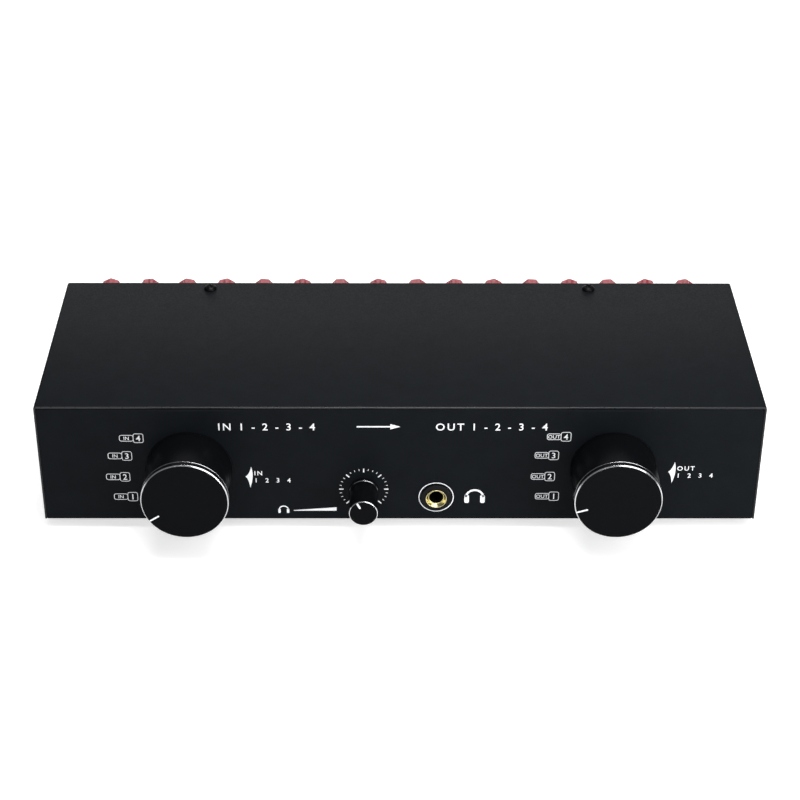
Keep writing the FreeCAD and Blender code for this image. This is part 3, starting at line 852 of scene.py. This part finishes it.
class SELECTOR_OT_binding_posts(bpy.types.Operator):
    """Mould the collars and caps, and cut the stems' threads"""

    bl_idname = "selector.binding_posts"
    bl_label = "Binding posts"

    def execute(self, context):
        sizes = context.scene.selector_sizes
        plastics = {"red": finish_of(tinted_polycarbonate), "black": finish_of(black_polycarbonate)}
        plate = finish_of(gold_plated_brass)
        for name, plastic in plastics.items():
            low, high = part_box(name + "_post_collars")
            row, half = (low.z + high.z) / 2, (high.z - low.z) / 2
            columns = np.linspace(low.x + half, high.x - half, POST_COUNT)
            collars = [self.collar(x, row, half) for x in columns]
            node = name + "_post_collars"
            make_piece(name + "_collars_moulded", collars, [plastic], "case", [node])
            stems = [self.stem(x, row, sizes.thread_pitch) for x in columns]
            node = name + "_post_stems"
            make_piece(name + "_stems_threaded", stems, [plate], "case", [node])
            for number, x in enumerate(columns, start=1):
                node = "%s_cap_%02d" % (name, number)
                cap = [self.cap(x, row, number * CAP_TURN, sizes.flute)]
                make_piece(node + "_moulded", cap, [plastic], node, [node])
        refinish(finish_of(moulded_nylon), "post_nuts")
        return {"FINISHED"}

    def collar(self, x, z, half):
        """An eight-sided flange on the panel, with broken edges and a round bore: rings of an octagon's
        outline run out along Y, drawn in by a share at the edge, and rings of the bore run back."""
        turns = np.radians(np.arange(8) * 45 + 22.5)
        corners = np.stack([np.sin(turns), np.cos(turns)], 1) * half / math.cos(math.pi / 8)
        outline = softened(corners, 0.5 * MM, 3)
        a = np.arctan2(outline[:, 0], outline[:, 1])
        bore = np.stack([np.sin(a), np.cos(a)], 1) * SHAFT_BORE
        start, end = CASE_HIGH.y, COLLAR_END
        rings = [
            (outline, start, 0.0),
            (outline, end - 0.5 * MM, 0.0),
            (outline, end - 0.15 * MM, 0.03),
            (outline, end, 0.08),
            (bore, end, 0.0),
            (bore, start, 0.0),
        ]
        grid = [laid(ring * (1 - inset) + (x, z), y) for ring, y, inset in rings]
        return tube(np.stack(grid), ring=True)

    def stem(self, x, z, pitch):
        """A threaded stem. Along the length that an open cap bares, its radius is less by a depth times
        |2 frac(y / pitch - a / 2 pi) - 1|. Above and below, where the wire hole goes through, it has a
        dimple: a depth times (hole radius - distance from the hole's middle) / wall, held to 0 to 1."""
        low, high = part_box("red_post_stems")
        radius, nominal, thread_depth = 2.98 * MM, 3.0 * MM, 0.45 * MM
        hole_from_collar, hole_radius, hole_wall, hole_depth = np.array([1.9, 1.25, 0.35, 0.9]) * MM
        open_from, open_to = COLLAR_END - 0.3 * MM, COLLAR_END + 6.0 * MM
        threads = np.arange(open_from, open_to, 0.2 * MM)
        y = np.concatenate([[low.y], threads, [open_to, high.y - 0.3 * MM]])[:, None]
        a = circle(28)
        wave = np.abs(2 * np.mod(y / pitch - a / (2 * np.pi), 1) - 1)
        bared = (y > open_from) & (y < open_to)
        away = np.hypot(y - COLLAR_END - hole_from_collar, nominal * np.sin(a))
        dimple = np.clip((hole_radius - away) / hole_wall, 0, 1) * hole_depth
        outside = spun(x, z, radius - np.where(bared, thread_depth * wave, 0) - dimple, y, a)
        # Radius and distance from the end, in millimetres: the rim, the mouth and the 4 mm plug's socket.
        rim = [(2.98, -0.3), (2.7, 0.0), (2.2, 0.0), (2.05, -0.15), (2.05, -19.2), (0.3, -20.0)]
        r, back = (np.array(rim) * MM).T[:, :, None]
        return tube(np.concatenate([outside, spun(x, z, r, high.y + back, a)]))

    def cap(self, x, z, turned_by, flute):
        """A screw cap. At angle a its radius is that of an octagon, A / cos(a - nearest flat), held under a
        limit at the corners by a smooth minimum, -b ln(e^(-r / b) + e^(-limit / b)). It is less by a flute
        of a bell shape, e^(-(angle / width)^2), in the middle of each flat."""
        start, end = round_box("red_cap_01")[3:]
        half, bore, mouth = 5.2 * MM, 3.07 * MM, 0.25 * MM
        limit, blend = half + 0.36 * MM, 0.06 * MM
        flute_width = 0.16
        a = circle(96)
        from_flat = np.mod(a - math.radians(turned_by) + np.pi / 8, np.pi / 4) - np.pi / 8
        octagon = half / np.cos(from_flat)
        edge = -np.logaddexp(-octagon / blend, -limit / blend) * blend
        dent = flute * np.exp(-((from_flat / flute_width) ** 2))
        # Distance from the collar and inset in millimetres, and the flute's share of its depth.
        foot = [(0.0, 0.75, 0), (0.25, 0.35, 0), (0.8, 0.1, 0), (1.6, 0, 0), (2.2, 0, 1)]
        head = [(17.2, 0, 1), (18.2, 0.05, 0.7), (19.4, 0.1, 0.3), (19.85, 0.3, 0), (20.1, 0.7, 0)]
        reach, inset, share = np.array(foot + head).T[:, :, None]
        y = start + reach / reach[-1] * (end - start)
        outside = spun(x, z, edge - inset * MM - share * dent, y, a)
        inner = np.array([(bore + mouth, end), (bore, end - mouth), (bore, start)])
        r, back = inner.T[:, :, None]
        return tube(np.concatenate([outside, spun(x, z, r, back, a)]), ring=True)


class SELECTOR_OT_stage(bpy.types.Operator):
    """Set the floor, the lights, the sky and the camera"""

    bl_idname = "selector.stage"
    bl_label = "Stage"

    def execute(self, context):
        stage = context.scene.selector_stage
        self.floor(stage)
        middle = (0.0, 0.0, 0.03)
        self.lamp("overhead_softbox", (0.1, -0.05, 1.4), middle, 0.8, 17.0)
        self.lamp("front_softbox", (-0.2, -1.6, 0.8), middle, 1.2, 12.0)
        self.lamp("right_softbox", (0.65, -0.6, 0.85), middle, 0.8, 5.0)
        self.lamp("low_right_softbox", (0.5, -0.45, 0.14), (0.12, 0.0, 0.03), 0.25, 1.8)
        self.lamp("rear_softbox", (0.0, 1.3, 0.85), middle, 1.4, 6.5)
        self.sky(context.scene)
        self.camera(context.scene, stage)
        context.scene.view_settings.view_transform = "Standard"
        return {"FINISHED"}

    def floor(self, stage):
        """A floor that curves up into a backdrop: flat, then a quarter circle, then upright."""
        reach, flat, bend, top = 6.0, 2.0, 0.6, 3.0
        a = np.linspace(0, np.pi / 2, 13)
        curve = np.column_stack([flat + bend * np.sin(a), bend - bend * np.cos(a)])
        line = np.concatenate([[(-reach, 0.0)], curve, [(flat + bend, top)]])
        x = np.array([-reach, reach])
        grid = np.stack(np.broadcast_arrays(x, line[:, :1], line[:, 1:]), -1)
        quads = open_quads(len(line), len(x))[1]
        new_object("floor", grid.reshape(-1, 3), quads.tolist(), [self.paper(stage)])

    def paper(self, stage):
        """Matt pale paper with a faint tooth. What the camera sees of it is lifted towards white by a glow
        that grows from 0.55 at 0.4 m to 1 at 1.6 m from the middle, and the object's shadow still shows."""
        finish = speckled(stage.floor, 1.5, (0.98, 1.0), (0.85, 0.95), IOR=1.5, Specular_IOR_Level=0.0)
        finish.name = "paper"
        tree = finish.node_tree
        shader = next(n for n in tree.nodes if n.type == "BSDF_PRINCIPLED")
        output = next(n for n in tree.nodes if n.type == "OUTPUT_MATERIAL")
        middle = add(tree, "ShaderNodeTexCoord").outputs["Object"]
        away = add(tree, "ShaderNodeVectorMath", {0: middle}, operation="LENGTH").outputs["Value"]
        span = {"Value": away, "From Min": 0.4, "From Max": 1.6, "To Min": 0.55, "To Max": 1.0}
        rise = add(tree, "ShaderNodeMapRange", span).outputs["Result"]
        glow = add(tree, "ShaderNodeMath", {0: self.seen(tree), 1: rise}, operation="MULTIPLY")
        light = add(tree, "ShaderNodeEmission", {"Color": (1, 1, 1, 1), "Strength": glow.outputs[0]})
        both = add(tree, "ShaderNodeAddShader", {0: shader.outputs["BSDF"], 1: light.outputs[0]})
        tree.links.new(both.outputs[0], output.inputs["Surface"])
        return finish

    def seen(self, tree):
        """1 for a ray from the camera, straight or through a clear piece."""
        path = add(tree, "ShaderNodeLightPath").outputs
        both = {0: path["Is Camera Ray"], 1: path["Is Transmission Ray"]}
        return add(tree, "ShaderNodeMath", both, operation="MAXIMUM").outputs[0]

    def sky(self, scene):
        """Even, weak white light all round, as a studio's walls give it; the camera sees them white."""
        world = bpy.data.worlds.new("studio")
        scene.world = world
        world.use_nodes = True
        tree = world.node_tree
        tree.nodes.clear()
        level = add(tree, "ShaderNodeMapRange", {"Value": self.seen(tree), "To Min": 0.15, "To Max": 1.0})
        strength = level.outputs["Result"]
        light = add(tree, "ShaderNodeBackground", {"Color": (1, 1, 1, 1), "Strength": strength})
        add(tree, "ShaderNodeOutputWorld", {"Surface": light.outputs[0]})

    def lamp(self, name, place, target, size, power):
        """A square soft light that faces the object."""
        light = bpy.data.lights.new(name, "AREA")
        light.shape = "SQUARE"
        light.size = size
        light.energy = power
        lamp = bpy.data.objects.new(name, light)
        lamp.location = place
        aim = np.array(target) - np.array(place)
        lamp.rotation_euler = self.look(aim).to_euler()
        lamp.visible_camera = False
        bpy.context.scene.collection.objects.link(lamp)

    def look(self, aim, roll=0.0):
        """Turn -Z to the aim, keep X level, then roll about the aim."""
        ahead = aim / np.linalg.norm(aim)
        right = np.cross(ahead, (0.0, 0.0, 1.0))
        right /= np.linalg.norm(right)
        up = np.cross(right, ahead)
        rolled_right = math.cos(roll) * right + math.sin(roll) * up
        rolled_up = math.cos(roll) * up - math.sin(roll) * right
        return Matrix(np.stack([rolled_right, rolled_up, -ahead], 1).tolist())

    def camera(self, scene, stage):
        """The photograph's viewpoint."""
        data = bpy.data.cameras.new("camera")
        data.lens = stage.focal_length
        data.sensor_width = 36.0
        data.clip_start = 0.01
        data.dof.use_dof = False
        camera = bpy.data.objects.new("camera", data)
        camera.location = stage.camera_place
        yaw, pitch = stage.camera_yaw, stage.camera_pitch
        aim = np.array([math.sin(yaw) * math.cos(pitch), math.cos(yaw) * math.cos(pitch), -math.sin(pitch)])
        camera.rotation_euler = self.look(aim, stage.camera_roll).to_euler()
        scene.collection.objects.link(camera)
        scene.camera = camera


class SELECTOR_PT_panel(bpy.types.Panel):
    """Sidebar panel with the steps that dress the model"""

    bl_label = "Speaker selector switch"
    bl_idname = "SELECTOR_PT_panel"
    bl_space_type = "VIEW_3D"
    bl_region_type = "UI"
    bl_category = "Selector"

    def draw(self, context):
        for step in STEPS:
            self.layout.operator(step.bl_idname)
        scene = context.scene
        for group in (scene.selector_sizes, scene.selector_colours, scene.selector_stage):
            box = self.layout.box()
            for name in group.bl_rna.properties.keys():
                if name not in {"rna_type", "name"}:
                    box.prop(group, name)


STEPS = (
    SELECTOR_OT_case,
    SELECTOR_OT_cover_screws,
    SELECTOR_OT_feet,
    SELECTOR_OT_selector_knobs,
    SELECTOR_OT_volume_knob,
    SELECTOR_OT_headphone_jack,
    SELECTOR_OT_front_print,
    SELECTOR_OT_binding_posts,
    SELECTOR_OT_stage,
)
GROUPS = (SelectorSizes, SelectorColours, SelectorStage)


def register():
    for kind in GROUPS + STEPS + (SELECTOR_PT_panel,):
        bpy.utils.register_class(kind)
    bpy.types.Scene.selector_sizes = bpy.props.PointerProperty(type=SelectorSizes)
    bpy.types.Scene.selector_colours = bpy.props.PointerProperty(type=SelectorColours)
    bpy.types.Scene.selector_stage = bpy.props.PointerProperty(type=SelectorStage)


def unregister():
    del bpy.types.Scene.selector_sizes
    del bpy.types.Scene.selector_colours
    del bpy.types.Scene.selector_stage
    for kind in reversed(GROUPS + STEPS + (SELECTOR_PT_panel,)):
        bpy.utils.unregister_class(kind)


def main():
    """Register the add-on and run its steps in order."""
    register()
    for step in STEPS:
        group, name = step.bl_idname.split(".")
        getattr(getattr(bpy.ops, group), name)()


if __name__ == "__main__":
    main()
